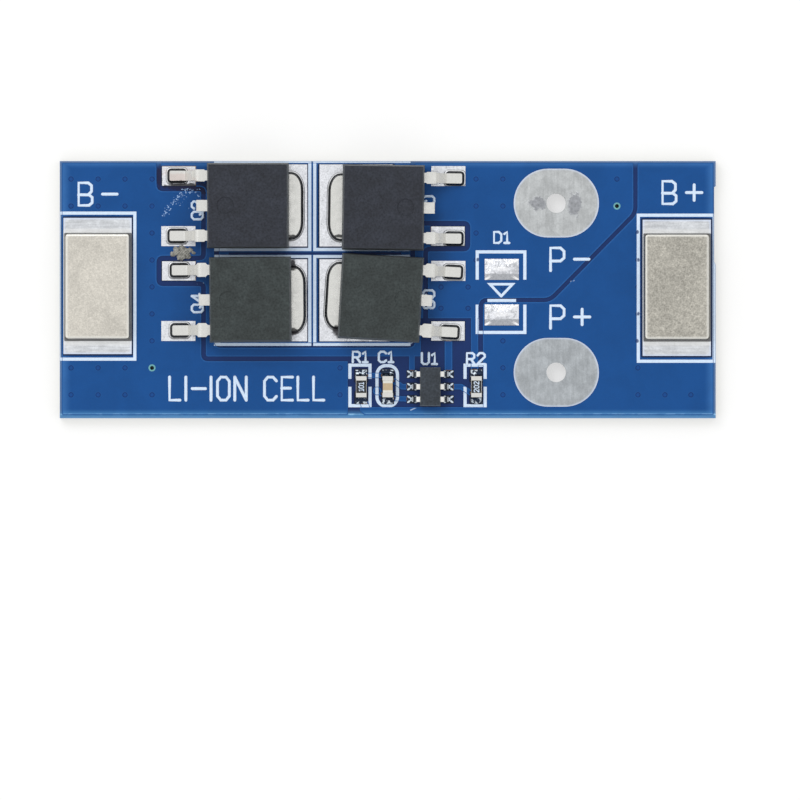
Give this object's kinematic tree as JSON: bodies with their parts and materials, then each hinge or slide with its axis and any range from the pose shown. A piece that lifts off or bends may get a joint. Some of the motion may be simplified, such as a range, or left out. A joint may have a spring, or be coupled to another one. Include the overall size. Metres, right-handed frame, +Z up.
{
  "type": "battery management board",
  "caption": "Flat blue protection board for a lithium cell, with power transistors, a small control chip, nickel weld blocks and drilled wire lands.",
  "frame": {"origin": "under the middle of the board, level with the undersides of its tinned lands, on which it lies", "axes": "+X along the board from the B- end to the B+ end, +Y across the board towards the P- land, +Z up from the component side"},
  "size_m": [0.05, 0.0196, 0.0034],
  "materials": {
    "glass_fibre_laminate": "woven glass-fibre epoxy, seen only at the cut edges",
    "plated_copper": "etched copper, seen only as thin edges and rings",
    "blue_solder_mask": "satin blue solder mask, darker where no copper lies under it",
    "white_print": "thin white ink",
    "tinned_land": "levelled tin, satin, with rough patches",
    "nickel_block": "grained nickel with bright rounded edges",
    "tinned_leadframe": "bright dip tin",
    "solder": "dull reflowed solder",
    "black_moulding": "fine matt epoxy moulding",
    "resistor_glaze": "glossy black glaze",
    "resistor_ceramic": "white alumina",
    "capacitor_ceramic": "tan ceramic"
  },
  "bodies": {
    "root": {"laminate": "glass_fibre_laminate", "copper_top": "plated_copper", "copper_bottom": "plated_copper", "solder_mask_top": "blue_solder_mask", "solder_mask_bottom": "blue_solder_mask", "printed_outlines": "white_print", "via_barrels": "plated_copper", "cable_land_p_minus": "tinned_land", "cable_land_p_plus": "tinned_land", "cell_land_b_minus": "tinned_land", "cell_land_b_plus": "tinned_land", "b_minus_solder_film": "solder", "b_plus_solder_film": "solder", "b_minus_nickel_block": "nickel_block", "b_plus_nickel_block": "nickel_block", "q1_body": "black_moulding", "q1_drain_tab": "tinned_leadframe", "q1_gate_lead": "tinned_leadframe", "q1_source_lead": "tinned_leadframe", "q1_solder": "solder", "q2_body": "black_moulding", "q2_drain_tab": "tinned_leadframe", "q2_gate_lead": "tinned_leadframe", "q2_source_lead": "tinned_leadframe", "q2_solder": "solder", "q3_body": "black_moulding", "q3_drain_tab": "tinned_leadframe", "q3_gate_lead": "tinned_leadframe", "q3_source_lead": "tinned_leadframe", "q3_solder": "solder", "q4_body": "black_moulding", "q4_drain_tab": "tinned_leadframe", "q4_gate_lead": "tinned_leadframe", "q4_source_lead": "tinned_leadframe", "q4_solder": "solder", "u1_body": "black_moulding", "u1_leads": "tinned_leadframe", "u1_solder": "solder", "r1_ceramic": "resistor_ceramic", "r1_overcoat": "resistor_glaze", "r1_end_caps": "tinned_leadframe", "r1_solder": "solder", "r2_ceramic": "resistor_ceramic", "r2_overcoat": "resistor_glaze", "r2_end_caps": "tinned_leadframe", "r2_solder": "solder", "c1_ceramic": "capacitor_ceramic", "c1_end_caps": "tinned_leadframe", "c1_solder": "solder", "d1_pad_solder": "solder"}
  },
  "joints": []
}
